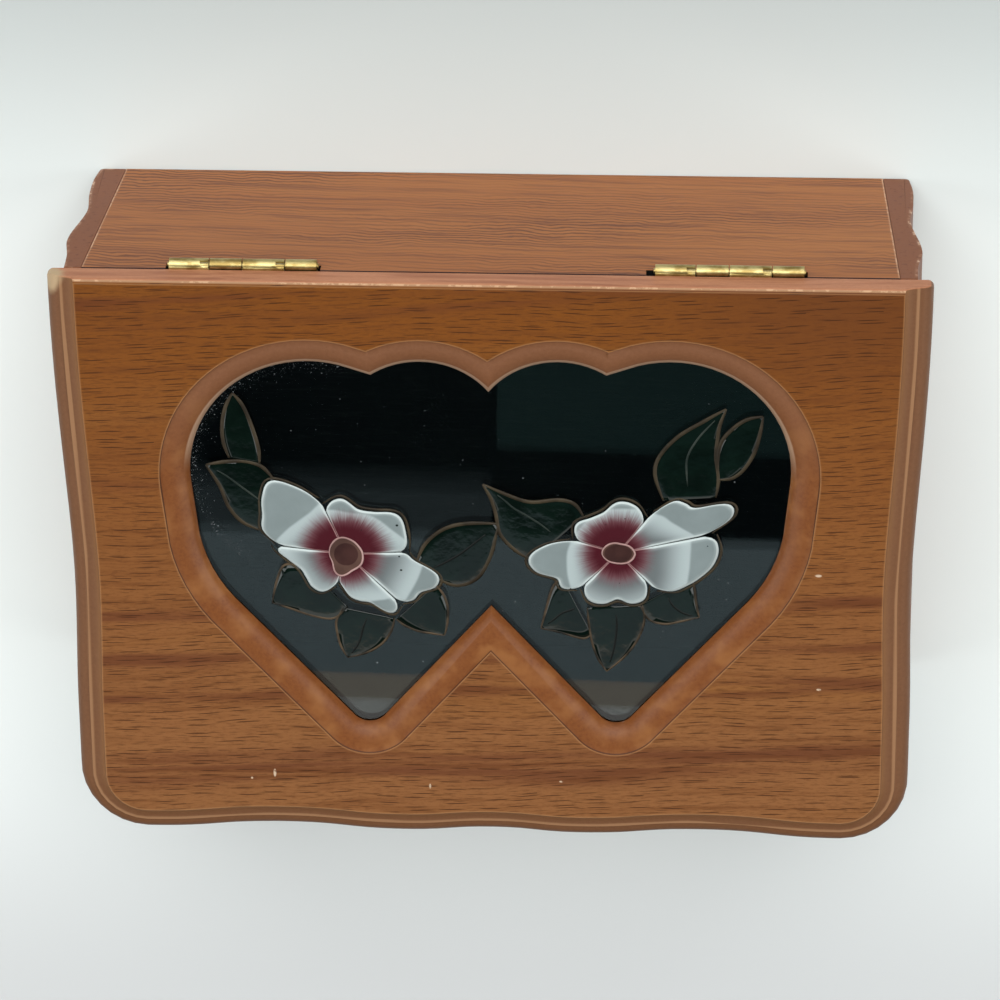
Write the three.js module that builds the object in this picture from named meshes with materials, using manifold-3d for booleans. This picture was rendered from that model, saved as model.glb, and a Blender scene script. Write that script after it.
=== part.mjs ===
// Wooden trinket box: moulded walls, a hinged lid with a routed edge and a
// double-heart window glazed from below, and two small brass hinges.
// Millimetres, +Z up, the base on z = 0, the hinges at +Y and the front at -Y.

import * as THREE from 'three';
import { mergeVertices } from 'three/addons/utils/BufferGeometryUtils.js';
import Module from 'manifold-3d';

const wasm = await Module();
wasm.setup();

// Driving dimensions: box
const wallHeight = 46;
const innerHalfWidth = 68.1;
const backFaceY = 49;
const backWallThickness = 5;
const innerFrontY = -44.05;
const bottomThickness = 3;
const glueLine = 0.15;

// Section of a moulded wall as [height, thickness], from the foot up to the lid seat. Its inner
// face leans outward, so the wall is thickest at the foot
const footRound = 1;
const mouldingSegments = 3;
const innerSlant = { foot: -0.7, seat: 1.45 };
const mouldingSection = [
  [footRound, 4],
  [6, 4.5],
  [12.5, 4.35],
  [18.5, 3.75],
  [22, 3.9],
  [26.2, 4.55],
  [30.5, 5.25],
  [34.2, 5.45],
  [37.5, 5],
  [40.5, 4.6],
  [wallHeight, 4.4],
];

// Driving dimensions: lid
const lidGap = 0.3;
const lidThickness = 5;
const lidBackHalfWidth = 75.2;
const lidWaist = { halfWidth: 72.95, fromBack: 59 };
const lidBelly = { halfWidth: 73.4, fromBack: 82.6 };
const lidFrontFromBack = 107.1;
const lidCornerRadius = 12;
const frontHollow = { x: 37, rise: 1.3 };
const frontLobe = { x: 15.5, rise: 0.2 };
const frontDip = { rise: 1.0 };
const lidSteps = 150;

// Routed edge of the lid, measured in from its outer edge and down from its face
const coveInner = 4.9;
const ridgeInset = 2.4;
const coveDepth = 1.4;
const ridgeStep = 0.25;
const roundDepth = 4.2;

// Window: each heart joins a round lobe with two tapered forms that meet in its tip. The circles
// are placed from the lid's centre line and its back edge, and mirrored for the other heart
const windowSkew = THREE.MathUtils.degToRad(0.7);
const windowLean = THREE.MathUtils.degToRad(0.2);
const heartTip = { x: 21.7, fromBack: 81, radius: 3.6 };
const innerLobe = { x: 11.8, fromBack: 30.4, radius: 15.1 };
const outerLobe = { x: 31, fromBack: 36.05, radius: 20.8 };
const outerFlank = { x: 24.9, fromBack: 43.7, radius: 26.1 };
const innerFlank = { x: 9.4, fromBack: 44.2, radius: 18.65 };
const windowCentreFromBack = 49;
const windowBand = 5;
const windowStep = 0.35;
const windowDepth = 3;
const heartSides = 72;
const arcSteps = 6;

// Glass pane in its rebate under the lid
const paneWidth = 112;
const paneLength = 77;
const paneThickness = 1.8;
const paneGap = 0.1;

// Hinges
const hingeCentres = { left: -41.9, right: 40.75 };
const hingeLength = 25.2;
const knuckleShares = [6.9, 5.6, 7.3, 5.4];
const knuckleGap = 0.2;
const barrelRadius = 1.15;
const boreRadius = 0.75;
const pinRadius = 0.5;
const pinStandOut = 0.3;
const leafThickness = 0.55;
const leafReach = 4.4;
const axisBehindBack = 0.4;
const axisUnderLid = barrelRadius + 0.15;
const mortiseEndPlay = 0.55;
const wideMortiseEnd = 1.5;
const mortisePlay = 0.15;

// Worked out from the driving dimensions
const lidUnderside = wallHeight + lidGap;
const lidFace = lidUnderside + lidThickness;
const hingeAxisY = backFaceY + axisBehindBack;
const hingeAxisZ = lidUnderside - axisUnderLid;
const boxLeafZ = hingeAxisZ - barrelRadius;
const mortiseFloor = boxLeafZ - mortisePlay;
const clear = 10;

// Solids and meshes

function toSolid(geometry) {
  const bare = geometry.index ? geometry.toNonIndexed() : geometry.clone();
  for (const name of Object.keys(bare.attributes)) {
    if (name !== 'position') bare.deleteAttribute(name);
  }
  const merged = mergeVertices(bare, 1e-4);
  const corners = merged.index.array;
  const kept = [];
  for (let i = 0; i < corners.length; i += 3) {
    const [a, b, c] = [corners[i], corners[i + 1], corners[i + 2]];
    if (a !== b && b !== c && c !== a) kept.push(a, b, c);
  }
  return new wasm.Manifold(new wasm.Mesh({
    numProp: 3,
    vertProperties: new Float32Array(merged.attributes.position.array),
    triVerts: new Uint32Array(kept),
  }));
}

function toGeometry(solid) {
  const mesh = solid.getMesh();
  const geometry = new THREE.BufferGeometry();
  geometry.setAttribute('position', new THREE.BufferAttribute(new Float32Array(mesh.vertProperties), 3));
  geometry.setIndex(new THREE.BufferAttribute(new Uint32Array(mesh.triVerts), 1));
  geometry.computeVertexNormals();
  return geometry;
}

function block(x0, x1, y0, y1, z0, z1) {
  const geometry = new THREE.BoxGeometry(x1 - x0, y1 - y0, z1 - z0);
  geometry.translate((x0 + x1) / 2, (y0 + y1) / 2, (z0 + z1) / 2);
  return toSolid(geometry);
}

function rodAlongX(x0, x1, radius, sides = 24) {
  const geometry = new THREE.CylinderGeometry(radius, radius, x1 - x0, sides);
  geometry.rotateZ(Math.PI / 2);
  geometry.translate((x0 + x1) / 2, hingeAxisY, hingeAxisZ);
  return toSolid(geometry);
}

// A prism over a plan outline, between two heights
function prism(points, z0, z1) {
  const rise = { depth: z1 - z0, bevelEnabled: false };
  const geometry = new THREE.ExtrudeGeometry(new THREE.Shape(points), rise);
  geometry.translate(0, 0, z0);
  return toSolid(geometry);
}

// A skin over rings of points of equal count, closed at both ends by flat fans
function loft(rings) {
  const count = rings[0].length;
  const positions = rings.flat().flatMap((point) => [point.x, point.y, point.z]);
  const index = [];
  for (let ring = 0; ring + 1 < rings.length; ring += 1) {
    for (let k = 0; k < count; k += 1) {
      const a = ring * count + k;
      const b = ring * count + (k + 1) % count;
      index.push(a, b, b + count, a, b + count, a + count);
    }
  }
  const top = (rings.length - 1) * count;
  for (let k = 1; k + 1 < count; k += 1) {
    index.push(0, k + 1, k);
    index.push(top, top + k, top + k + 1);
  }
  const geometry = new THREE.BufferGeometry();
  geometry.setAttribute('position', new THREE.Float32BufferAttribute(positions, 3));
  geometry.setIndex(index);
  return toSolid(geometry);
}

// Moulded walls: one section, run along three sides and mitred at the front corners

function mouldingShape() {
  const outer = mouldingSection.map(([height, thickness]) => new THREE.Vector2(thickness, height));
  const shape = new THREE.Shape();
  const [foot] = outer;
  shape.moveTo(innerSlant.foot, 0);
  shape.lineTo(foot.x - footRound, 0);
  shape.quadraticCurveTo(foot.x, 0, foot.x, foot.y);
  shape.splineThru(outer.slice(1));
  shape.lineTo(innerSlant.seat, wallHeight);
  shape.closePath();
  return shape;
}

// How far the walls' inner faces stand out from the inner plan at a height
function innerLean(height) {
  return THREE.MathUtils.lerp(innerSlant.foot, innerSlant.seat, height / wallHeight);
}

function mouldedWall(outward, start, length, plan) {
  const run = { depth: length, bevelEnabled: false, curveSegments: mouldingSegments };
  const geometry = new THREE.ExtrudeGeometry(mouldingShape(), run);
  const up = new THREE.Vector3(0, 0, 1);
  const along = new THREE.Vector3().crossVectors(outward, up);
  geometry.applyMatrix4(new THREE.Matrix4().makeBasis(outward, up, along).setPosition(start));
  return toSolid(geometry).intersect(prism(plan, -clear, wallHeight + clear));
}

function sideWall(side) {
  const near = side * (innerHalfWidth - clear);
  const outer = side * (innerHalfWidth + clear);
  const plan = [
    new THREE.Vector2(near, backFaceY),
    new THREE.Vector2(near, innerFrontY + clear + glueLine),
    new THREE.Vector2(outer, innerFrontY - clear + glueLine),
    new THREE.Vector2(outer, backFaceY),
  ];
  const length = backFaceY - innerFrontY + 2 * clear;
  const startY = side > 0 ? backFaceY + clear : innerFrontY - clear;
  const start = new THREE.Vector3(side * innerHalfWidth, startY, 0);
  return mouldedWall(new THREE.Vector3(side, 0, 0), start, length, plan);
}

function frontWall() {
  const plan = [
    new THREE.Vector2(-innerHalfWidth + clear, innerFrontY + clear),
    new THREE.Vector2(-innerHalfWidth - clear, innerFrontY - clear),
    new THREE.Vector2(innerHalfWidth + clear, innerFrontY - clear),
    new THREE.Vector2(innerHalfWidth - clear, innerFrontY + clear),
  ];
  const halfRun = innerHalfWidth + clear;
  const start = new THREE.Vector3(halfRun, innerFrontY, 0);
  return mouldedWall(new THREE.Vector3(0, -1, 0), start, 2 * halfRun, plan);
}

// A board between the leaning faces of the side walls, from the floor up to a height
function boardBetweenWalls(frontY, backY, boardTop) {
  const rings = [0, boardTop].map((height) => {
    const halfWidth = innerHalfWidth + innerLean(height) - glueLine;
    return [
      new THREE.Vector3(-halfWidth, frontY(height), height),
      new THREE.Vector3(halfWidth, frontY(height), height),
      new THREE.Vector3(halfWidth, backY, height),
      new THREE.Vector3(-halfWidth, backY, height),
    ];
  });
  return loft(rings);
}

// The plain back board stands between the side walls and is cut out for the hinges
function backWall() {
  let board = boardBetweenWalls(() => backFaceY - backWallThickness, backFaceY, wallHeight);
  for (const [side, centre] of Object.entries(hingeCentres)) {
    const left = centre - hingeLength / 2 - (side === 'right' ? wideMortiseEnd : mortiseEndPlay);
    const right = centre + hingeLength / 2 + mortiseEndPlay;
    const inward = backFaceY - leafReach - mortisePlay;
    board = board.subtract(block(left, right, inward, backFaceY + clear, mortiseFloor, wallHeight + clear));
  }
  return board;
}

// The bottom board is let in flush between the four walls
function bottomBoard() {
  const front = (height) => innerFrontY - innerLean(height) + glueLine;
  return boardBetweenWalls(front, backFaceY - backWallThickness - glueLine, bottomThickness);
}

// Outline of the lid from its back left corner round the front to its back right corner
function lidOutline() {
  const z = lidFace;
  const at = (x, fromBack) => new THREE.Vector3(x, backFaceY - fromBack, z);
  const cornerX = lidBelly.halfWidth - lidCornerRadius;
  const cornerBack = lidFrontFromBack - lidCornerRadius;
  const hollowBack = lidFrontFromBack - frontHollow.rise;
  const lobeBack = lidFrontFromBack - frontLobe.rise;
  const dipBack = lidFrontFromBack - frontDip.rise;
  const arcHandle = 0.5523;
  const round = lidCornerRadius * arcHandle;
  const hollowRun = (cornerX - frontHollow.x) / 2;
  const lobeRun = (frontHollow.x - frontLobe.x) / 2;
  const dipRun = frontLobe.x / 2;
  const bellyRun = (cornerBack - lidBelly.fromBack) / 3;
  const waistRun = (lidBelly.fromBack - lidWaist.fromBack) / 2.7;
  const waistRise = lidWaist.fromBack / 3.7;
  const backRun = lidWaist.fromBack / 2.2;
  const rightHalf = [
    [[0, dipBack], [dipRun, dipBack], [frontLobe.x - dipRun, lobeBack], [frontLobe.x, lobeBack]],
    [[frontLobe.x, lobeBack], [frontLobe.x + lobeRun, lobeBack], [frontHollow.x - lobeRun, hollowBack],
      [frontHollow.x, hollowBack]],
    [[frontHollow.x, hollowBack], [frontHollow.x + hollowRun, hollowBack],
      [cornerX - hollowRun, lidFrontFromBack], [cornerX, lidFrontFromBack]],
    [[cornerX, lidFrontFromBack], [cornerX + round, lidFrontFromBack],
      [lidBelly.halfWidth, cornerBack + round], [lidBelly.halfWidth, cornerBack]],
    [[lidBelly.halfWidth, cornerBack], [lidBelly.halfWidth, cornerBack - bellyRun],
      [lidBelly.halfWidth, lidBelly.fromBack + bellyRun], [lidBelly.halfWidth, lidBelly.fromBack]],
    [[lidBelly.halfWidth, lidBelly.fromBack], [lidBelly.halfWidth, lidBelly.fromBack - waistRun],
      [lidWaist.halfWidth, lidWaist.fromBack + waistRun], [lidWaist.halfWidth, lidWaist.fromBack]],
    [[lidWaist.halfWidth, lidWaist.fromBack], [lidWaist.halfWidth, lidWaist.fromBack - waistRise],
      [lidBackHalfWidth, backRun], [lidBackHalfWidth, 0]],
  ];
  const outline = new THREE.CurvePath();
  outline.arcLengthDivisions = 1200;
  outline.add(new THREE.LineCurve3(at(-lidBackHalfWidth, -clear), at(-lidBackHalfWidth, 0)));
  for (const points of [...rightHalf].reverse()) {
    const mirrored = [...points].reverse().map(([x, fromBack]) => at(-x, fromBack));
    outline.add(new THREE.CubicBezierCurve3(...mirrored));
  }
  for (const points of rightHalf) {
    outline.add(new THREE.CubicBezierCurve3(...points.map(([x, fromBack]) => at(x, fromBack))));
  }
  outline.add(new THREE.LineCurve3(at(lidBackHalfWidth, 0), at(lidBackHalfWidth, -clear)));
  return outline;
}

// Section that the edge cutter takes off, as [depth, inset]: a cove, a ridge and a round
function edgeCutterShape() {
  const shape = new THREE.Shape();
  shape.moveTo(-clear, coveInner);
  shape.lineTo(0, coveInner);
  for (let k = 1; k <= arcSteps; k += 1) {
    const turn = (k / arcSteps) * Math.PI / 2;
    shape.lineTo(coveDepth * Math.sin(turn), ridgeInset + (coveInner - ridgeInset) * Math.cos(turn));
  }
  const roundHeight = roundDepth - coveDepth - ridgeStep;
  for (let k = 0; k <= arcSteps; k += 1) {
    const turn = (k / arcSteps) * Math.PI / 2;
    shape.lineTo(roundDepth - roundHeight * Math.cos(turn), ridgeInset * (1 - Math.sin(turn)));
  }
  shape.lineTo(roundDepth, -clear / 4);
  shape.lineTo(-clear, -clear / 4);
  shape.closePath();
  return shape;
}

// One cell of the window: the hull of its circles, grown by a margin, as a ring of points
function cellRing(cell, side, margin, z) {
  const points = [];
  for (let k = 0; k < heartSides; k += 1) {
    const turn = (k / heartSides) * 2 * Math.PI;
    const direction = new THREE.Vector2(Math.cos(turn), Math.sin(turn));
    const reach = (circle) => side * circle.x * direction.x - circle.fromBack * direction.y + circle.radius;
    const circle = cell.reduce((best, other) => (reach(other) > reach(best) ? other : best));
    const grown = circle.radius + margin;
    const x = side * circle.x + grown * direction.x;
    const y = windowCentreFromBack - circle.fromBack + grown * direction.y;
    points.push(new THREE.Vector3(
      x - y * Math.sin(windowLean),
      y + x * Math.sin(windowSkew) + backFaceY - windowCentreFromBack,
      z,
    ));
  }
  return points;
}

// The window cutter leaves a small step at the lid's face and a rounded band down to the glass
function windowCutter() {
  let cutter = null;
  for (const side of [-1, 1]) {
    for (const cell of [[innerLobe], [outerLobe, outerFlank, heartTip], [innerFlank, heartTip]]) {
      const rings = [cellRing(cell, side, 0, lidUnderside - clear)];
      for (let k = 0; k <= arcSteps; k += 1) {
        const turn = (1 - k / arcSteps) * Math.PI / 2;
        const depth = windowStep + (windowDepth - windowStep) * (1 - Math.cos(turn));
        rings.push(cellRing(cell, side, windowBand * (1 - Math.sin(turn)), lidFace - depth));
      }
      rings.push(cellRing(cell, side, windowBand, lidFace + clear));
      const cut = loft(rings);
      cutter = cutter ? cutter.add(cut) : cut;
    }
  }
  return cutter;
}

function lidPanel() {
  const outline = lidOutline();
  const plan = outline.getSpacedPoints(lidSteps).map((point) => new THREE.Vector2(point.x, point.y));
  const edge = new THREE.ExtrudeGeometry(edgeCutterShape(), { steps: lidSteps, extrudePath: outline });
  const paneHalfWidth = paneWidth / 2 + paneGap;
  const paneBack = backFaceY - windowCentreFromBack + paneLength / 2 + paneGap;
  const rebate = block(-paneHalfWidth, paneHalfWidth, paneBack - paneLength - 2 * paneGap, paneBack,
    lidUnderside - clear, lidUnderside + lidThickness - windowDepth);
  const behindHalf = lidBackHalfWidth + clear;
  const behind = block(-behindHalf, behindHalf, backFaceY, backFaceY + 2 * clear,
    lidUnderside - clear, lidFace + clear);
  return prism(plan, lidUnderside, lidFace)
    .subtract(toSolid(edge))
    .subtract(windowCutter())
    .subtract(rebate)
    .subtract(behind);
}

function glassPane() {
  const back = backFaceY - windowCentreFromBack + paneLength / 2;
  const top = lidFace - windowDepth - paneGap;
  return block(-paneWidth / 2, paneWidth / 2, back - paneLength, back, top - paneThickness, top);
}

// One hinge leaf: a flat plate with every second knuckle rolled round the pin
function hingeLeaf(centre, firstKnuckle, plateZ) {
  const left = centre - hingeLength / 2;
  const plateY = hingeAxisY - barrelRadius - 2 * mortisePlay;
  const tabLap = 0.5;
  const plateTop = plateZ + leafThickness;
  let leaf = block(left, left + hingeLength, backFaceY - leafReach, plateY, plateZ, plateTop);
  let start = left;
  for (const [k, share] of knuckleShares.entries()) {
    const end = start + share;
    if (k % 2 === firstKnuckle) {
      const x0 = k === 0 ? start : start + knuckleGap / 2;
      const x1 = k === knuckleShares.length - 1 ? end : end - knuckleGap / 2;
      leaf = leaf.add(block(x0, x1, plateY - tabLap, hingeAxisY, plateZ, plateTop));
      leaf = leaf.add(rodAlongX(x0, x1, barrelRadius));
    }
    start = end;
  }
  return leaf.subtract(rodAlongX(left - clear, left + hingeLength + clear, boreRadius, 16));
}

function hingePin(centre) {
  const half = hingeLength / 2 + pinStandOut;
  return rodAlongX(centre - half, centre + half, pinRadius, 12);
}

// The object
const paintedWood = { color: 0x8a5238, roughness: 0.5, metalness: 0 };
const grainedWood = { color: 0x8b5a34, roughness: 0.42, metalness: 0 };
const paleBoard = { color: 0x5a3d2a, roughness: 0.8, metalness: 0 };
const clearGlass = { color: 0xdfe8e4, roughness: 0.05, metalness: 0, transparent: true, opacity: 0.25 };
const brass = { color: 0xb08d4a, roughness: 0.35, metalness: 1 };

const trinketBox = new THREE.Group();

function place(name, solid, finish) {
  const mesh = new THREE.Mesh(toGeometry(solid), new THREE.MeshStandardMaterial(finish));
  mesh.name = name;
  trinketBox.add(mesh);
}

place('left_wall', sideWall(-1), paintedWood);
place('right_wall', sideWall(1), paintedWood);
place('front_wall', frontWall(), paintedWood);
place('back_wall', backWall(), grainedWood);
place('bottom_board', bottomBoard(), paleBoard);
place('lid_panel', lidPanel(), grainedWood);
place('glass_pane', glassPane(), clearGlass);

for (const [side, centre] of Object.entries(hingeCentres)) {
  place(`${side}_hinge_lid_leaf`, hingeLeaf(centre, 0, lidUnderside - leafThickness), brass);
  place(`${side}_hinge_box_leaf`, hingeLeaf(centre, 1, boxLeafZ), brass);
  place(`${side}_hinge_pin`, hingePin(centre), brass);
}

export default trinketBox;
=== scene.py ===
import math
import random

import bmesh
import bpy
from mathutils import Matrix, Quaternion, Vector


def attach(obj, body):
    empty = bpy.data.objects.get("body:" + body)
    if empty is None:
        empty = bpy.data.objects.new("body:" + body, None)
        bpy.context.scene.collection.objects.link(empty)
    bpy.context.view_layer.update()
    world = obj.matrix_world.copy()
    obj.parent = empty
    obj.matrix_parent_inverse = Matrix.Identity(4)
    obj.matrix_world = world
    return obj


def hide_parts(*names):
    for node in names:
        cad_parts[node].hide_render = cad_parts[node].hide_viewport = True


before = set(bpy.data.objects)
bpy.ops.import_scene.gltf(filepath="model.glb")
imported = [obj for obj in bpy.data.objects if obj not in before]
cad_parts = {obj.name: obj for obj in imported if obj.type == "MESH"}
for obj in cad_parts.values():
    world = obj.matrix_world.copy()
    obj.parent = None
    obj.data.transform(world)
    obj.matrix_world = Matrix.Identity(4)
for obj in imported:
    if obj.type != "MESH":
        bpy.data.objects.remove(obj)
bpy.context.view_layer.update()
scene = bpy.context.scene


# Bottom board
# A thin board let in flush between the four walls and glued to them.
# It is stained dark on the inside, and its underside is left as dull board.

def keep_faces_flat(piece):
    """Shades the large faces flat, with the turn of the light left to the narrow eased ones."""
    shading = piece.modifiers.new("flat_faces_stay_flat", "WEIGHTED_NORMAL")
    shading.keep_sharp = True
    shading.weight = 100


same_place = 0.000002
level_angle = math.radians(0.3)
arris_angle = math.radians(38)
sharp_angle = math.radians(44)
small_face = 0.0001
rounding_turns = [math.radians(degrees) for degrees in (18, 36, 54, 72)]


def worked_copy(node, arris, worn_width=0.0, pared_edges=()):
    """The merged copy of a solid, with its sharp outer edges eased as sandpaper leaves them.
    A worn width cuts a border of that width round the flat faces and marks their outer edge with 1.
    A pared edge is first rounded off: a point on it, its two faces' normals and the radius."""
    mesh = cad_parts[node].data.copy()
    mesh.name = node + "_mesh"
    mesh.materials.clear()
    shape = bmesh.new()
    shape.from_mesh(mesh)
    bmesh.ops.remove_doubles(shape, verts=shape.verts, dist=same_place)
    bmesh.ops.dissolve_limit(shape, angle_limit=level_angle, verts=shape.verts, edges=shape.edges)
    for on_edge, first_normal, second_normal, radius in pared_edges:
        axis = Vector(on_edge) - (Vector(first_normal) + Vector(second_normal)) * radius
        for turn in rounding_turns:
            outward = Vector(first_normal) * math.cos(turn) + Vector(second_normal) * math.sin(turn)
            cut = bmesh.ops.bisect_plane(
                shape,
                geom=shape.verts[:] + shape.edges[:] + shape.faces[:],
                plane_co=axis + outward * radius,
                plane_no=outward,
                clear_outer=True,
            )
            open_edges = [part for part in cut["geom_cut"] if isinstance(part, bmesh.types.BMEdge)]
            bmesh.ops.contextual_create(shape, geom=open_edges)
    hard_edges = [
        edge
        for edge in shape.edges
        if edge.is_manifold and edge.is_convex and edge.calc_face_angle() > arris_angle
    ]
    eased = bmesh.ops.bevel(
        shape,
        geom=hard_edges,
        offset=arris,
        offset_type="OFFSET",
        segments=2,
        profile=0.5,
        affect="EDGES",
        material=-1,
        clamp_overlap=True,
    )
    if worn_width:
        wear = shape.loops.layers.float.new("edge")
        eased_faces = set(eased["faces"])
        flat_faces = [
            face for face in shape.faces if face not in eased_faces and face.calc_area() > small_face
        ]
        for face in flat_faces:
            for edge in face.edges:
                for other in edge.link_faces:
                    in_plane = other.normal.dot(face.normal) > 0.99999
                    if in_plane and other not in flat_faces and other not in eased_faces:
                        flat_faces.append(other)
        border = bmesh.ops.inset_region(
            shape, faces=flat_faces, thickness=worn_width, use_boundary=True, use_even_offset=True
        )["faces"]
        eased_verts = {vert for face in eased_faces for vert in face.verts}
        for face in list(eased_faces) + border:
            for loop in face.loops:
                loop[wear] = 1.0 if loop.vert in eased_verts else 0.0
    for face in shape.faces:
        face.smooth = True
        face.material_index = 0
    shape.to_mesh(mesh)
    shape.free()
    mesh.set_sharp_from_angle(angle=sharp_angle)
    piece = bpy.data.objects.new(node + "_worked", mesh)
    scene.collection.objects.link(piece)
    keep_faces_flat(piece)
    return piece


def shader_node(tree, kind, sockets=None, **settings):
    """A shader node with its settings made and its sockets filled or joined to other nodes."""
    node = tree.nodes.new(kind)
    for name, value in settings.items():
        setattr(node, name, value)
    for socket, value in (sockets or {}).items():
        if isinstance(value, bpy.types.NodeSocket):
            tree.links.new(value, node.inputs[socket])
        else:
            node.inputs[socket].default_value = value
    return node


def stretched_noise(tree, place, stretch, detail, roughness=0.5):
    """Noise whose cells are stretched along the grain; stretch is cells to a metre on each axis."""
    mapping = shader_node(tree, "ShaderNodeMapping", {"Vector": place, "Scale": stretch})
    noise = shader_node(
        tree,
        "ShaderNodeTexNoise",
        {"Vector": mapping.outputs[0], "Scale": 1.0, "Detail": detail, "Roughness": roughness},
    )
    return noise.outputs[0]


def step_mask(tree, value, low, high):
    """0 below low, 1 above high, with a soft step between; low may be the larger one."""
    step = shader_node(
        tree,
        "ShaderNodeMapRange",
        {"Value": value, "From Min": low, "From Max": high},
        interpolation_type="SMOOTHSTEP",
    )
    return step.outputs[0]


def calculate(tree, operation, first, second=0.0):
    return shader_node(tree, "ShaderNodeMath", {0: first, 1: second}, operation=operation).outputs[0]


def product(tree, first, second):
    return calculate(tree, "MULTIPLY", first, second)


def spread_over(tree, value, low, high, start=0.0, end=1.0):
    """A value that runs from start to end, spread evenly from low to high."""
    spread = shader_node(
        tree,
        "ShaderNodeMapRange",
        {"Value": value, "From Min": start, "From Max": end, "To Min": low, "To Max": high},
    )
    return spread.outputs[0]


def stain_over(tree, mask, ground, stain, blend="MIX"):
    """One colour laid over another where the mask is 1."""
    ground, stain = (layer + (1,) if isinstance(layer, tuple) else layer for layer in (ground, stain))
    mix = shader_node(
        tree,
        "ShaderNodeMix",
        {0: mask, 6: ground, 7: stain},
        data_type="RGBA",
        blend_type=blend,
        clamp_factor=True,
    )
    return mix.outputs[2]


def new_finish(name):
    """An empty material with its shader, and the object's own coordinates."""
    finish = bpy.data.materials.new(name)
    finish.use_nodes = True
    tree = finish.node_tree
    shader = tree.nodes["Principled BSDF"]
    place = tree.nodes.new("ShaderNodeTexCoord").outputs["Object"]
    return finish, tree, shader, place


def raise_surface(tree, shader, height, strength, distance):
    bump = shader_node(
        tree, "ShaderNodeBump", {"Strength": strength, "Distance": distance, "Height": height}
    )
    tree.links.new(bump.outputs[0], shader.inputs["Normal"])


# The same near-black stain is also laid in the back wall's hinge cuts as painted shade.
dark_stain_and_cut_shade, tree, shader, place = new_finish("dark_stain_and_painted_cut_shade")
board_cloud = stretched_noise(tree, place, (40, 110, 110), 4)
board_fibre = stretched_noise(tree, place, (160, 2200, 2200), 3)
stained = stain_over(tree, board_cloud, (0.0024, 0.0027, 0.0025), (0.006, 0.0058, 0.005))
stained = stain_over(tree, step_mask(tree, board_fibre, 0.5, 0.75), stained, (0.01, 0.009, 0.0075))
tree.links.new(stained, shader.inputs["Base Color"])
shader.inputs["Roughness"].default_value = 0.75
shader.inputs["Specular IOR Level"].default_value = 0.1
raise_surface(tree, shader, board_fibre, 0.3, 0.0001)

dull_board, tree, shader, place = new_finish("dull_underside_board")
board_cloud = stretched_noise(tree, place, (30, 90, 90), 4)
board_fibre = stretched_noise(tree, place, (130, 1800, 1800), 4)
dulled = stain_over(tree, board_cloud, (0.19, 0.105, 0.055), (0.27, 0.165, 0.09))
dulled = stain_over(tree, step_mask(tree, board_fibre, 0.5, 0.72), dulled, (0.14, 0.075, 0.04))
tree.links.new(dulled, shader.inputs["Base Color"])
shader.inputs["Roughness"].default_value = 0.8
raise_surface(tree, shader, board_fibre, 0.35, 0.0001)

bottom_board = worked_copy("bottom_board", 0.0002)
bottom_board.data.materials.append(dark_stain_and_cut_shade)
bottom_board.data.materials.append(dull_board)
for face in bottom_board.data.polygons:
    face.material_index = 1 if face.normal.z < -0.5 else 0
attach(bottom_board, "box")
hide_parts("bottom_board")


# Left, right and front walls
# Moulded lengths of wood, mitred at the front corners and glued round the bottom board.
# A reddish-brown satin stain covers them, chipped to bare wood along the arrises.

def add_socket(group, name, way, kind):
    return group.interface.new_socket(name=name, in_out=way, socket_type=kind)


chipping = bpy.data.node_groups.new("chipped_edges", "ShaderNodeTree")
add_socket(chipping, "Place", "INPUT", "NodeSocketVector")
add_socket(chipping, "Chips", "OUTPUT", "NodeSocketFloat")
add_socket(chipping, "Rubbed", "OUTPUT", "NodeSocketFloat")
group_in = chipping.nodes.new("NodeGroupInput")
group_out = chipping.nodes.new("NodeGroupOutput")
chip_noise = stretched_noise(chipping, group_in.outputs[0], (700, 700, 700), 3, 0.6)
patch_noise = stretched_noise(chipping, group_in.outputs[0], (90, 90, 90), 2)
chip_level = calculate(chipping, "ADD", chip_noise, product(chipping, patch_noise, 0.5))
chipping.links.new(step_mask(chipping, chip_level, 0.87, 0.92), group_out.inputs[0])
chipping.links.new(step_mask(chipping, chip_level, 0.68, 0.88), group_out.inputs[1])

wall_height = 0.046
inner_lean = 0.00215 / wall_height


def joint_distance(tree, place):
    """How far a point lies from the middle of the box, less the lean of the walls' inner faces."""
    wall_axes = shader_node(tree, "ShaderNodeSeparateXYZ", {0: place})
    sideways = calculate(tree, "ABSOLUTE", wall_axes.outputs[0])
    lean = product(tree, wall_axes.outputs[2], inner_lean)
    return calculate(tree, "SUBTRACT", sideways, lean)


def noted_value(tree, name):
    """A value that the mesh holds at each of its points or corners."""
    return shader_node(tree, "ShaderNodeAttribute", attribute_name=name).outputs["Fac"]


wall_stain, tree, shader, place = new_finish("reddish_wall_stain")
wall_cloud = stretched_noise(tree, place, (45, 45, 60), 4)
wall_speck = stretched_noise(tree, place, (900, 900, 1300), 3)
stained = stain_over(tree, wall_cloud, (0.158, 0.05, 0.021), (0.212, 0.075, 0.0325))
stained = stain_over(tree, step_mask(tree, wall_speck, 0.55, 0.75), stained, (0.121, 0.035, 0.015))
edge = noted_value(tree, "edge")
chips = shader_node(tree, "ShaderNodeGroup", {0: place}, node_tree=chipping)
outer_part = step_mask(tree, joint_distance(tree, place), 0.0684, 0.0693)
depth = shader_node(tree, "ShaderNodeSeparateXYZ", {0: place}).outputs[1]
toward_back = spread_over(tree, depth, 0.3, 1.0, start=0.046, end=0.0485)
outer_edge = product(tree, edge, outer_part)
bare = product(tree, step_mask(tree, outer_edge, 0.4, 0.9), chips.outputs["Chips"])
bare = product(tree, bare, toward_back)
rubbed = product(tree, step_mask(tree, outer_edge, 0.2, 0.9), chips.outputs["Rubbed"])
rubbed = product(tree, rubbed, toward_back)
stained = stain_over(tree, product(tree, rubbed, 0.7), stained, (0.33, 0.17, 0.105))
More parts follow.
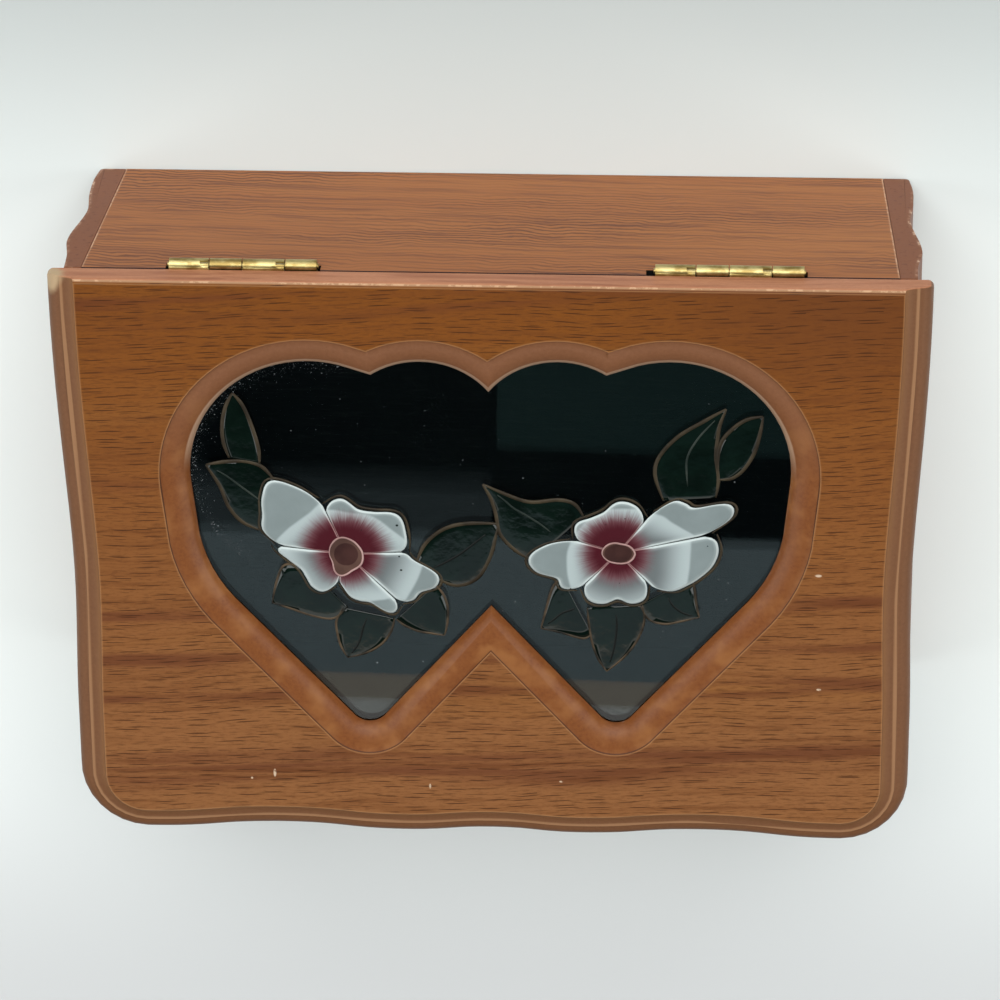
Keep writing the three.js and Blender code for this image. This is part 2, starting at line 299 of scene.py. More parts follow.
stained = stain_over(tree, bare, stained, (0.55, 0.36, 0.25))
tree.links.new(stained, shader.inputs["Base Color"])
tree.links.new(spread_over(tree, wall_cloud, 0.36, 0.5), shader.inputs["Roughness"])
shader.inputs["Specular IOR Level"].default_value = 0.15
raise_surface(tree, shader, wall_speck, 0.12, 0.0001)

inward_directions = {
    "left_wall": Vector((1, 0, 0)),
    "right_wall": Vector((-1, 0, 0)),
    "front_wall": Vector((0, 1, 0)),
}
for node, inward in inward_directions.items():
    wall = worked_copy(node, 0.00018, 0.0007)
    wall.data.materials.append(wall_stain)
    wall.data.materials.append(dark_stain_and_cut_shade)
    wall.data.materials.append(dull_board)
    for face in wall.data.polygons:
        if face.normal.dot(inward) > 0.95:
            face.material_index = 1
        elif face.normal.z < -0.95:
            face.material_index = 2
    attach(wall, "box")
    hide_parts(node)


# Back wall
# A flat board with a fine wavy figure, glued between the ends of the side walls.
# It is cut out along its top for the hinges and has the same reddish stain, thinner over the grain.

def ellipse_reach(tree, place, centre, half_sizes):
    """0 at the centre of an ellipse on a level face and 1 on its edge."""
    from_centre = shader_node(tree, "ShaderNodeVectorMath", {0: place, 1: centre}, operation="SUBTRACT")
    shares = shader_node(
        tree,
        "ShaderNodeVectorMath",
        {0: from_centre.outputs[0], 1: (1 / half_sizes[0], 1 / half_sizes[1], 0.0)},
        operation="MULTIPLY",
    )
    reach = shader_node(tree, "ShaderNodeVectorMath", {0: shares.outputs[0]}, operation="LENGTH")
    return reach.outputs["Value"]


grain = bpy.data.node_groups.new("wood_grain", "ShaderNodeTree")
add_socket(grain, "Place", "INPUT", "NodeSocketVector")
add_socket(grain, "Bands", "OUTPUT", "NodeSocketFloat")
add_socket(grain, "Streaks", "OUTPUT", "NodeSocketFloat")
add_socket(grain, "Pores", "OUTPUT", "NodeSocketFloat")
group_in = grain.nodes.new("NodeGroupInput")
group_out = grain.nodes.new("NodeGroupOutput")
sway = shader_node(
    grain,
    "ShaderNodeTexNoise",
    {"Vector": group_in.outputs[0], "Scale": 22.0, "Detail": 2.0},
)
sway_shift = shader_node(
    grain,
    "ShaderNodeVectorMath",
    {0: sway.outputs["Color"], 1: (0.0, 0.005, 0.005)},
    operation="MULTIPLY",
)
swayed = shader_node(
    grain,
    "ShaderNodeVectorMath",
    {0: group_in.outputs[0], 1: sway_shift.outputs[0]},
    operation="ADD",
).outputs[0]
bands = stretched_noise(grain, swayed, (7, 95, 95), 3)
streaks = stretched_noise(grain, swayed, (26, 850, 850), 4, 0.6)
pore_layers = []
for cells, half_pore, strength in (
    ((160, 880, 1), (0.43, 0.095), 1.0),
    ((270, 1150, 1), (0.4, 0.085), 0.6),
):
    pore_place = shader_node(grain, "ShaderNodeMapping", {"Vector": swayed, "Scale": cells}).outputs[0]
    pore = shader_node(
        grain,
        "ShaderNodeTexVoronoi",
        {"Vector": pore_place, "Scale": 1.0, "Randomness": 0.9},
        voronoi_dimensions="2D",
    )
    pore_reach = ellipse_reach(grain, pore_place, pore.outputs["Position"], half_pore)
    pore_chance = shader_node(grain, "ShaderNodeSeparateColor", {0: pore.outputs["Color"]}).outputs[0]
    pore_kept = product(grain, step_mask(grain, pore_chance, 0.1, 0.45), strength)
    pore_layers.append(product(grain, step_mask(grain, pore_reach, 1.0, 0.55), pore_kept))
grain.links.new(bands, group_out.inputs[0])
grain.links.new(streaks, group_out.inputs[1])
grain.links.new(calculate(grain, "MAXIMUM", *pore_layers), group_out.inputs[2])

back_stain, tree, shader, place = new_finish("figured_back_stain")
turned = shader_node(
    tree, "ShaderNodeMapping", {"Vector": place, "Rotation": (math.radians(-90), 0, math.radians(-2.5))}
).outputs[0]
figure = shader_node(tree, "ShaderNodeGroup", {0: turned}, node_tree=grain)
ripple = shader_node(
    tree,
    "ShaderNodeTexWave",
    {"Vector": turned, "Scale": 250.0, "Distortion": 11.0, "Detail": 3.0, "Detail Scale": 0.5},
    wave_type="BANDS",
    bands_direction="Y",
).outputs[1]
stained = stain_over(tree, figure.outputs["Bands"], (0.26, 0.079, 0.022), (0.385, 0.143, 0.038))
ripple_zone = step_mask(tree, stretched_noise(tree, turned, (12, 60, 1), 2), 0.4, 0.6)
ripple_strength = spread_over(tree, ripple_zone, 0.2, 0.95)
ripple_lines = product(tree, step_mask(tree, ripple, 0.4, 0.95), ripple_strength)
stained = stain_over(tree, ripple_lines, stained, (0.12, 0.038, 0.015))
streak_mask = product(tree, step_mask(tree, figure.outputs["Streaks"], 0.45, 0.75), 0.8)
stained = stain_over(tree, streak_mask, stained, (0.12, 0.037, 0.017))
shader.inputs["Roughness"].default_value = 0.42
shader.inputs["Specular IOR Level"].default_value = 0.15
raise_surface(tree, shader, figure.outputs["Streaks"], 0.12, 0.0001)

back_axes = shader_node(tree, "ShaderNodeSeparateXYZ", {0: place})
joint_line = step_mask(tree, joint_distance(tree, place), 0.06698, 0.06718)
chips = shader_node(tree, "ShaderNodeGroup", {0: place}, node_tree=chipping)
joint_line = product(tree, joint_line, calculate(tree, "MAXIMUM", chips.outputs["Rubbed"], 0.45))
stained = stain_over(tree, joint_line, stained, (0.5, 0.28, 0.17))
# Dark red line along the wall's top, under the lid: painted shadow of the gap.
painted_gap_shadow = step_mask(tree, back_axes.outputs[2], 0.04565, 0.04585)
stained = stain_over(tree, painted_gap_shadow, stained, (0.022, 0.004, 0.004))
tree.links.new(stained, shader.inputs["Base Color"])

board_end = 0.066
glue_gap = 0.00013
hinge_cut_reach = 0.06
hinge_cut_heights = (0.035, 0.0455)
back_wall = worked_copy("back_wall", 0.00012)
for corner in back_wall.data.vertices:
    if abs(corner.co.x) > board_end:
        corner.co.x += math.copysign(glue_gap, corner.co.x)
back_wall.data.materials.append(back_stain)
back_wall.data.materials.append(dark_stain_and_cut_shade)
back_wall.data.materials.append(dull_board)
for face in back_wall.data.polygons:
    near_hinge = abs(face.center.x) < hinge_cut_reach
    below_top = hinge_cut_heights[0] < face.center.z < hinge_cut_heights[1]
    # The hinge cuts take the near-black stain as painted shade in the cut.
    shaded_hinge_cut = near_hinge and below_top and face.normal.y < 0.5
    if face.normal.y < -0.95 or shaded_hinge_cut:
        face.material_index = 1
    elif face.normal.z < -0.95:
        face.material_index = 2
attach(back_wall, "box")
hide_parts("back_wall")


# Hinges
# Two small butt hinges of rolled brass plate, let into the back wall and the lid's edge.
# Each leaf has two knuckles round the pin, with a saw slot at the end of the lid leaf's knuckles.

hinge_centres = {"left": -0.0419, "right": 0.04075}
hinge_length = 0.0252
knuckle_lengths = [0.0069, 0.0056, 0.0073, 0.0054]
barrel_axis = Vector((0, 0.0494, 0.045))
barrel_radius = 0.00115
slot_length = 0.0016
slot_depth = 0.0004
slot_wall = 0.00002
slot_turns = (28, 58)
slot_corner_angle = math.radians(30)

brass, tree, shader, place = new_finish("worn_brass")
tarnish = stretched_noise(tree, place, (260, 420, 420), 4, 0.6)
scratches = stretched_noise(tree, place, (500, 7000, 7000), 3)
plate = stain_over(tree, step_mask(tree, tarnish, 0.38, 0.62), (0.29, 0.2, 0.066), (0.54, 0.435, 0.195))
plate = stain_over(tree, step_mask(tree, tarnish, 0.66, 0.78), plate, (0.16, 0.1, 0.04))
tree.links.new(plate, shader.inputs["Base Color"])
shader.inputs["Metallic"].default_value = 1.0
tree.links.new(spread_over(tree, scratches, 0.22, 0.48), shader.inputs["Roughness"])
raise_surface(tree, shader, scratches, 0.1, 0.00005)

# Near-black finish for the knuckles' saw slots: painted shade in the slot.
slot_shadow, tree, shader, place = new_finish("painted_slot_shadow")
slot_shade_mottle = stretched_noise(tree, place, (900, 900, 900), 2)
tree.links.new(
    stain_over(tree, slot_shade_mottle, (0.012, 0.008, 0.003), (0.04, 0.028, 0.012)), shader.inputs["Base Color"]
)
shader.inputs["Roughness"].default_value = 0.7

for side, centre_x in hinge_centres.items():
    for leaf, body in (("lid_leaf", "lid"), ("box_leaf", "box"), ("pin", "box")):
        node = side + "_hinge_" + leaf
        hinge_part = worked_copy(node, 0.0001)
        hinge_part.data.materials.append(brass)
        if leaf == "lid_leaf":
            hinge_part.data.materials.append(slot_shadow)
            barrel = bmesh.new()
            barrel.from_mesh(hinge_part.data)
            knuckle_start = centre_x - hinge_length / 2
            for number in (0, 2):
                knuckle_end = knuckle_start + sum(knuckle_lengths[: number + 1])
                slot_start = knuckle_end - slot_length
                bmesh.ops.bisect_plane(
                    barrel,
                    geom=barrel.verts[:] + barrel.edges[:] + barrel.faces[:],
                    plane_co=(slot_start, 0, 0),
                    plane_no=(1, 0, 0),
                )
                slot_faces = []
                for face in barrel.faces:
                    middle = face.calc_center_median()
                    around = middle - barrel_axis
                    turn = math.degrees(math.atan2(around.z, around.y))
                    on_barrel = math.hypot(around.y, around.z) > barrel_radius * 0.9
                    along = slot_start < middle.x < knuckle_end - 0.0001
                    facing_up = slot_turns[0] < turn < slot_turns[1] and abs(face.normal.x) < 0.3
                    if on_barrel and along and facing_up:
                        slot_faces.append(face)
                bmesh.ops.inset_region(
                    barrel,
                    faces=slot_faces,
                    thickness=slot_wall,
                    depth=-slot_depth,
                    use_even_offset=True,
                )
                for face in slot_faces:
                    face.material_index = 1
            barrel.to_mesh(hinge_part.data)
            barrel.free()
            hinge_part.data.set_sharp_from_angle(angle=slot_corner_angle)
        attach(hinge_part, body)
        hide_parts(node)


# Lid panel
# A flat board with a routed cove and round along its two sides and its wavy front edge.
# The flat face is grained and satin, lighter toward the front as a painted reflection; the routed edges
# and the window's round-over are stained plain, with painted highlights, light and shadow along their
# ridges, steps and rims.

lid_face_height = 0.0513
ridge_height = 0.0499
lid_back = 0.049
lid_half_width = 0.0752
back_edge_radius = 0.0008
back_corner_radius = 0.0011

lid_finish, tree, shader, place = new_finish("lid_grain_and_stain")
axes = shader_node(tree, "ShaderNodeSeparateXYZ", {0: place})
across, depth, height = axes.outputs
along_grain = shader_node(
    tree, "ShaderNodeMapping", {"Vector": place, "Rotation": (0, 0, math.radians(-2.5))}
).outputs[0]
lid_grain = shader_node(tree, "ShaderNodeGroup", {0: along_grain}, node_tree=grain)
# Lighter and paler toward the front: painted reflection of the table in the satin finish.
painted_sheen_toward_front = step_mask(tree, depth, 0.05, -0.05)
veneer = stain_over(tree, painted_sheen_toward_front, (0.168, 0.052, 0.0072), (0.222, 0.088, 0.029))
shaded_corner = product(tree, step_mask(tree, across, 0.01, 0.06), step_mask(tree, depth, 0.022, 0.046))
shaded_corner = product(tree, shaded_corner, 0.55)
veneer = stain_over(tree, shaded_corner, veneer, (0.1, 0.03, 0.009))
pale_bands = product(tree, step_mask(tree, lid_grain.outputs["Bands"], 0.45, 0.25), 0.45)
veneer = stain_over(tree, pale_bands, veneer, (0.225, 0.087, 0.02))
grain_place = shader_node(tree, "ShaderNodeSeparateXYZ", {0: along_grain}).outputs[1]
grain_sway = product(tree, stretched_noise(tree, place, (14, 40, 1), 2), 0.008)
grain_place = calculate(tree, "ADD", grain_place, grain_sway)
red_stripes = product(tree, step_mask(tree, lid_grain.outputs["Bands"], 0.55, 0.75), 0.6)
stripe_places = (
    (0.0506, 0.0024),
    (-0.008, 0.002),
    (-0.0165, 0.0024),
    (-0.0245, 0.0026),
    (-0.039, 0.005),
)
for stripe_centre, half_stripe in stripe_places:
    stripe_gap = calculate(tree, "SUBTRACT", grain_place, stripe_centre)
    stripe_gap = calculate(tree, "ABSOLUTE", stripe_gap)
    stripe = step_mask(tree, stripe_gap, half_stripe, half_stripe * 0.2)
    red_stripes = calculate(tree, "MAXIMUM", red_stripes, stripe)
broken_stripes = step_mask(tree, stretched_noise(tree, along_grain, (20, 420, 1), 3), 0.33, 0.62)
red_stripes = product(tree, red_stripes, product(tree, broken_stripes, 0.75))
veneer = stain_over(tree, red_stripes, veneer, (0.1, 0.027, 0.01))
fine_streaks = product(tree, step_mask(tree, lid_grain.outputs["Streaks"], 0.45, 0.75), 0.55)
veneer = stain_over(tree, fine_streaks, veneer, (0.105, 0.03, 0.006))
grit = stretched_noise(tree, along_grain, (600, 2600, 1), 3, 0.65)
grit_mask = product(tree, step_mask(tree, grit, 0.46, 0.66), 0.4)
veneer = stain_over(tree, grit_mask, veneer, (0.1, 0.03, 0.007))
pore_mask = product(tree, lid_grain.outputs["Pores"], 0.9)
veneer = stain_over(tree, pore_mask, veneer, (0.04, 0.011, 0.0025))


millimetre = 0.001


def spot_mask(tree, place, centre, half_sizes):
    """1 inside a small soft ellipse on a level face; millimetres."""
    spot = (centre[0] * millimetre, centre[1] * millimetre, 0)
    reach = ellipse_reach(tree, place, spot, [size * millimetre for size in half_sizes])
    return step_mask(tree, reach, 1.0, 0.6)


nicks = (
    ((-38.4, -45.1), (0.3, 0.95)),
    ((-42.5, -46.2), (0.25, 0.25)),
    ((-10.9, -47.2), (0.22, 0.6)),
    ((12.3, -45.8), (0.4, 0.2)),
    ((56.8, -4.5), (0.75, 0.3)),
    ((57.3, -26.6), (0.5, 0.25)),
)
nick_place = stretched_noise(tree, place, (1800, 1800, 1), 2)
for nick_centre, nick_size in nicks:
    nick = product(tree, spot_mask(tree, place, nick_centre, nick_size), 0.85)
    nick = product(tree, nick, step_mask(tree, nick_place, 0.3, 0.5))
    veneer = stain_over(tree, nick, veneer, (0.56, 0.42, 0.3))

fuzz = stretched_noise(tree, place, (1500, 1500, 2500), 4, 0.65)
mottle = stretched_noise(tree, place, (170, 170, 260), 3)
routed = stain_over(tree, fuzz, (0.112, 0.044, 0.02), (0.19, 0.087, 0.042))
routed = stain_over(tree, product(tree, mottle, 0.5), routed, (0.17, 0.068, 0.026))
orange_band = stain_over(tree, fuzz, (0.11, 0.028, 0.0055), (0.215, 0.07, 0.016))
orange_band = stain_over(tree, step_mask(tree, mottle, 0.45, 0.7), orange_band, (0.23, 0.085, 0.024))
# Paler pink band on the window's back lobes: painted light, for the light that falls on that side.
painted_light_pink_band = stain_over(tree, fuzz, (0.148, 0.056, 0.023), (0.218, 0.09, 0.042))
orange_band = stain_over(tree, step_mask(tree, depth, 0.01, 0.034), orange_band, painted_light_pink_band)
from_middle = calculate(tree, "ABSOLUTE", across)
inside_sides = step_mask(tree, from_middle, 0.0635, 0.0625)
inside_front = step_mask(tree, depth, -0.0495, -0.0485)
inside_back = step_mask(tree, depth, 0.0455, 0.0445)
window_zone = product(tree, inside_sides, product(tree, inside_front, inside_back))
# Pale line low on the back lobes' round-over: painted highlight where the edge catches the light.
painted_rim_highlight = product(tree, step_mask(tree, height, 0.0499, 0.0497), step_mask(tree, depth, 0.012, 0.02))
orange_band = stain_over(tree, product(tree, painted_rim_highlight, 0.75), orange_band, (0.42, 0.27, 0.18))
routed = stain_over(tree, window_zone, routed, orange_band)
beyond_window = calculate(tree, "SUBTRACT", 1.0, window_zone)
# Thin pale line along the ridge between cove and round: painted highlight.
painted_ridge_highlight = product(
    tree,
    step_mask(tree, height, ridge_height + 0.00005, ridge_height + 0.00002),
    step_mask(tree, height, ridge_height - 0.0003, ridge_height - 0.0002),
)
painted_ridge_highlight = product(tree, painted_ridge_highlight, beyond_window)
routed = stain_over(tree, product(tree, painted_ridge_highlight, 0.6), routed, (0.36, 0.19, 0.095))
# Lighter cove next to the flat face: painted light.
painted_light_cove_top = step_mask(tree, height, lid_face_height - 0.0014, lid_face_height - 0.0006)
painted_light_cove_top = product(tree, painted_light_cove_top, beyond_window)
routed = stain_over(tree, product(tree, painted_light_cove_top, 0.55), routed, (0.28, 0.128, 0.05))
# Dark line at the foot of the window's small step: painted shadow.
step_foot_shadow = product(
    tree,
    step_mask(tree, height, lid_face_height - 0.000362, lid_face_height - 0.000354),
    step_mask(tree, height, lid_face_height - 0.00012, lid_face_height - 0.0002),
)
step_foot_shadow = product(tree, step_foot_shadow, window_zone)
routed = stain_over(tree, product(tree, step_foot_shadow, 0.75), routed, (0.05, 0.016, 0.006))

flat_face = step_mask(tree, height, lid_face_height - 0.00008, lid_face_height - 0.00003)
wood = stain_over(tree, flat_face, routed, veneer)
edge = noted_value(tree, "edge")
chips = shader_node(tree, "ShaderNodeGroup", {0: place}, node_tree=chipping)
rubbed = product(tree, step_mask(tree, edge, 0.35, 0.95), 0.55)
wood = stain_over(tree, rubbed, wood, (0.34, 0.17, 0.075))
back_strip = step_mask(tree, depth, lid_back - 0.00025, lid_back - 0.0001)
worn_strip = stain_over(tree, fuzz, (0.34, 0.134, 0.067), (0.49, 0.212, 0.112))
strip_streaks = product(tree, step_mask(tree, lid_grain.outputs["Streaks"], 0.42, 0.7), 0.75)
worn_strip = stain_over(tree, strip_streaks, worn_strip, (0.24, 0.082, 0.041))
wood = stain_over(tree, back_strip, wood, worn_strip)
on_rounding = product(
    tree,
    step_mask(tree, depth, lid_back - 0.00045, lid_back - 0.0003),
    step_mask(tree, height, lid_face_height - 0.00045, lid_face_height - 0.0003),
)
# Pale line along the rounded back edge: rubbed wear and painted highlight.
worn_and_lit_back_rounding = product(tree, on_rounding, calculate(tree, "MAXIMUM", chips.outputs["Rubbed"], 0.4))
wood = stain_over(tree, worn_and_lit_back_rounding, wood, (0.5, 0.29, 0.165))
corner_place = (-lid_half_width, lid_back, 0.0495)
bare_corner = shader_node(
    tree, "ShaderNodeVectorMath", {0: place, 1: corner_place}, operation="DISTANCE"
).outputs["Value"]
bare_corner = calculate(tree, "ADD", bare_corner, product(tree, mottle, 0.003))
wood = stain_over(tree, step_mask(tree, bare_corner, 0.0052, 0.0036), wood, (0.42, 0.29, 0.17))
tree.links.new(wood, shader.inputs["Base Color"])
gloss = spread_over(tree, lid_grain.outputs["Streaks"], 0.3, 0.46)
dulled = spread_over(tree, flat_face, 0.12, 0.0)
tree.links.new(calculate(tree, "ADD", gloss, dulled), shader.inputs["Roughness"])
pore_depth = product(tree, product(tree, lid_grain.outputs["Pores"], flat_face), -1.0)
surface = calculate(tree, "ADD", pore_depth, product(tree, fuzz, 0.5))
shader.inputs["Specular IOR Level"].default_value = 0.18
lacquer = product(tree, window_zone, calculate(tree, "SUBTRACT", 1.0, flat_face))
tree.links.new(product(tree, lacquer, 0.18), shader.inputs["Coat Weight"])
shader.inputs["Coat Roughness"].default_value = 0.32
raise_surface(tree, shader, surface, 0.25, 0.0001)

rounded_back_edges = [
    ((0, lid_back, lid_face_height), (0, 1, 0), (0, 0, 1), back_edge_radius),
    ((-lid_half_width, lid_back, 0), (-1, 0, 0), (0, 1, 0), back_corner_radius),
    ((lid_half_width, lid_back, 0), (1, 0, 0), (0, 1, 0), back_corner_radius),
]
lid_panel = worked_copy("lid_panel", 0.00012, 0.0005, rounded_back_edges)
lid_panel.data.materials.append(lid_finish)
lid_panel.data.materials.append(dark_stain_and_cut_shade)
for face in lid_panel.data.polygons:
    if face.normal.z < -0.95:
        face.material_index = 1
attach(lid_panel, "lid")
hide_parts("lid_panel")


# Glass pane
# One sheet of clear glass held in a rebate under the lid, filling both hearts.
# Its edges are cut and its faces are polished.

glass_top = 0.0482
clear_glass, tree, shader, place = new_finish("clear_glass")
shader.inputs["Base Color"].default_value = (0.78, 0.9, 0.88, 1)
shader.inputs["Transmission Weight"].default_value = 1.0
shader.inputs["IOR"].default_value = 1.5
smears = stretched_noise(tree, place, (60, 35, 60), 4)
tree.links.new(spread_over(tree, smears, 0.007, 0.016), shader.inputs["Roughness"])
glass_pane = worked_copy("glass_pane", 0.0001)
glass_pane.data.materials.append(clear_glass)
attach(glass_pane, "lid")
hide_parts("glass_pane")


# Painted leaves
# Dark green enamel laid on the glass in leaf shapes, each inside a raised bronze outline.
# The outliner is piped on first, as a bead, and the green is floated in between.

def paint_material(name, colours, roughness, sheen=0.2):
    """Enamel that is a little uneven in tone."""
    enamel, tree, shader, place = new_finish(name)
    pooling = stretched_noise(tree, place, (260, 260, 260), 4)
    tone = stain_over(tree, step_mask(tree, pooling, 0.3, 0.7), colours[0], colours[1])
    tree.links.new(tone, shader.inputs["Base Color"])
    shader.inputs["Roughness"].default_value = roughness
    shader.inputs["Specular IOR Level"].default_value = sheen
    raise_surface(tree, shader, pooling, 0.2, 0.0002)
    return enamel


def smooth_between(values, share):
    """A value at a share (0 to 1) along a row of values, on a smooth curve through them."""
    spot = share * (len(values) - 1)
    left = min(int(spot), len(values) - 2)
    turn = spot - left
    before = values[max(left - 1, 0)]
    first, second = values[left], values[left + 1]
    after = values[min(left + 2, len(values) - 1)]
    rise = (second - before) / 2
    fall = (after - first) / 2
    curve = first + rise * turn
    curve += (3 * (second - first) - 2 * rise - fall) * turn**2
    curve += (2 * (first - second) + rise + fall) * turn**3
    return curve


def smooth_line(corners, steps):
    """Points in metres on a smooth line through corners given in millimetres."""
    across_values = [corner[0] for corner in corners]
    depth_values = [corner[1] for corner in corners]
    points = []
    for step in range(steps + 1):
        share = step / steps
        spot = Vector((smooth_between(across_values, share), smooth_between(depth_values, share)))
        points.append(spot * millimetre)
    return points


def add_bead(shape, points, width, bead_height, base=glass_top):
    """A piped bead along the points: a strip with a raised middle that narrows at both ends."""
    made = bmesh.ops.create_grid(shape, x_segments=len(points) - 1, y_segments=4, size=0.5)["verts"]
    last = len(points) - 1
    for vert in made:
        row = round((vert.co.x + 0.5) * last)
        share = vert.co.y * 2
        before, after = points[max(row - 1, 0)], points[min(row + 1, last)]
        along = (after - before).normalized()
        taper = min(1.0, 0.45 + 3.0 * min(row, last - row) / last)
        aside = Vector((-along.y, along.x)) * share * taper * width / 2
        rise = base + bead_height * (1 - share * share)
        vert.co = Vector((points[row].x + aside.x, points[row].y + aside.y, rise))


def add_leaf(shape, first_edge, second_edge, thickness):
    """A leaf blade between its two edges, which run from the stalk to just short of the tip."""
    last = len(first_edge) - 2
    made = bmesh.ops.create_grid(shape, x_segments=last, y_segments=8, size=0.5)["verts"]
    for vert in made:
        row = round((vert.co.x + 0.5) * last)
        share = vert.co.y * 2
        spot = first_edge[row].lerp(second_edge[row], (share + 1) / 2)
        rise = glass_top + thickness * (1 - 0.2 * share * share)
        vert.co = Vector((spot.x, spot.y, rise))


def placed_object(shape, name, finish):
    """The worked shape as an object in the scene, in one finish."""
    mesh = bpy.data.meshes.new(name + "_mesh")
    shape.to_mesh(mesh)
    shape.free()
    mesh.materials.append(finish)
    placed = bpy.data.objects.new(name, mesh)
    scene.collection.objects.link(placed)
    return placed


def finish_painting(shape, name, enamel, thickness):
    """Turns a painted sheet into a thin closed coat on the glass that rides on the lid."""
    bmesh.ops.recalc_face_normals(shape, faces=shape.faces)
    for face in shape.faces:
        face.smooth = True
        if face.normal.z < 0:
            face.normal_flip()
    coat = placed_object(shape, name, enamel)
    body = coat.modifiers.new("coat_thickness", "SOLIDIFY")
    body.thickness = thickness
    body.offset = -1
    keep_faces_flat(coat)
    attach(coat, "lid")
    return coat


leaf_greens = [(0.0014, 0.004, 0.0026), (0.0024, 0.0068, 0.0045)]
leaf_green = paint_material("leaf_green_enamel", leaf_greens, 0.06, 0.42)
outliners = {
    "bronze": paint_material("bronze_outliner", [(0.016, 0.0105, 0.0055), (0.046, 0.033, 0.018)], 0.45),
    "rubbed": paint_material("rubbed_outliner", [(0.003, 0.003, 0.002), (0.085, 0.056, 0.032)], 0.5),
}
vein_paints = {
    "pale": paint_material("pale_vein_enamel", [(0.008, 0.014, 0.011), (0.03, 0.037, 0.03)], 0.45),
    "dark": paint_material("dark_vein_enamel", [(0.0006, 0.0012, 0.0009), (0.003, 0.004, 0.003)], 0.5),
}

bead_widths = {"bronze": 0.00078, "rubbed": 0.0005}
bead_height = 0.00016
vein_width = 0.00055
leaf_rise = 0.00008
leaf_coat = 0.00006
line_coat = 0.00005
leaf_edge_steps = 24
leaf_plans = {
    "left": [
        (
            ((-45.0, 14.8), (-45.9, 17.8), (-46.0, 21.2), (-45.3, 24.5), (-44.1, 27.0)),
            ((-39.8, 13.9), (-40.0, 16.9), (-41.0, 20.8), (-42.4, 24.6), (-44.1, 27.0)),
            "bronze",
            None,
        ),
        (
            ((-37.5, 10.9), (-39.4, 13.1), (-42.1, 14.1), (-45.6, 14.0), (-49.1, 13.4)),
            ((-40.2, 1.1), (-43.2, 2.7), (-45.4, 5.6), (-46.8, 9.5), (-49.1, 13.4)),
            "bronze",
            "pale",
        ),
        (
            ((-12.9, -4.6), (-11.3, -1.1), (-8.2, 1.7), (-4.2, 2.9), (1.4, 3.0)),
            ((-9.4, -7.7), (-6.1, -9.0), (-2.5, -7.6), (-0.1, -3.3), (1.4, 3.0)),
            "bronze",
            "dark",
        ),
        (
            ((-31.9, -6.4), (-34.5, -5.5), (-36.3, -6.0), (-37.5, -9.2), (-38.3, -13.0)),
            ((-25.1, -13.5), (-27.6, -15.8), (-31.2, -15.4), (-35.2, -14.0), (-38.3, -13.0)),
            "rubbed",
            None,
        ),
        (
            ((-25.8, -13.7), (-27.1, -16.3), (-26.9, -19.3), (-26.3, -21.5), (-25.3, -23.5)),
            ((-16.9, -15.6), (-17.6, -18.1), (-19.2, -20.6), (-21.9, -22.4), (-25.3, -23.5)),
            "rubbed",
            "dark",
        ),
        (
            ((-9.7, -8.9), (-8.3, -10.9), (-7.6, -13.4), (-7.7, -16.4), (-8.2, -18.8)),
            ((-16.6, -15.8), (-15.1, -17.0), (-12.9, -18.0), (-10.6, -18.4), (-8.2, -18.8)),
            "rubbed",
            None,
        ),
    ],
    "right": [
        (
            ((16.1, 4.7), (14.5, 7.0), (11.7, 7.7), (7.1, 7.2), (3.4, 8.3), (-1.3, 10.5)),
            ((7.3, -4.0), (4.3, -2.0), (1.7, 1.1), (1.0, 4.9), (0.1, 8.0), (-1.3, 10.5)),
            "bronze",
            "pale",
        ),
        (
            ((29.9, 8.0), (28.5, 12.6), (29.1, 16.1), (32.3, 20.0), (36.9, 23.1), (40.5, 25.4)),
            ((38.9, 8.7), (39.3, 12.3), (38.8, 16.3), (39.0, 19.3), (39.4, 22.4), (40.5, 25.4)),
            "bronze",
            "pale",
        ),
        (
            ((39.3, 12.3), (39.2, 16.3), (39.9, 19.4), (41.9, 21.9), (44.2, 23.5), (46.8, 24.1)),
            ((39.5, 12.1), (41.6, 12.4), (43.6, 14.1), (45.4, 17.4), (46.3, 21.0), (46.8, 24.1)),
            "bronze",
            None,
        ),
        (
            ((12.6, -7.7), (11.5, -8.0), (10.5, -9.9), (9.6, -13.5), (8.7, -17.1)),
            ((17.6, -18.1), (16.2, -18.9), (14.0, -18.4), (11.7, -17.7), (8.7, -17.1)),
            "rubbed",
            "dark",
        ),
        (
            ((16.8, -12.9), (17.2, -17.0), (17.8, -20.2), (18.7, -22.8), (20.2, -25.3)),
            ((26.4, -12.2), (26.7, -15.3), (25.5, -19.0), (23.4, -22.2), (20.2, -25.3)),
            "rubbed",
            "dark",
        ),
        (
            ((34.9, -6.8), (35.4, -8.9), (35.6, -10.9), (35.9, -12.8), (36.3, -14.4)),
            ((25.9, -12.2), (27.6, -15.0), (30.4, -15.8), (33.2, -15.2), (36.3, -14.4)),
            "rubbed",
            "dark",
        ),
    ],
}
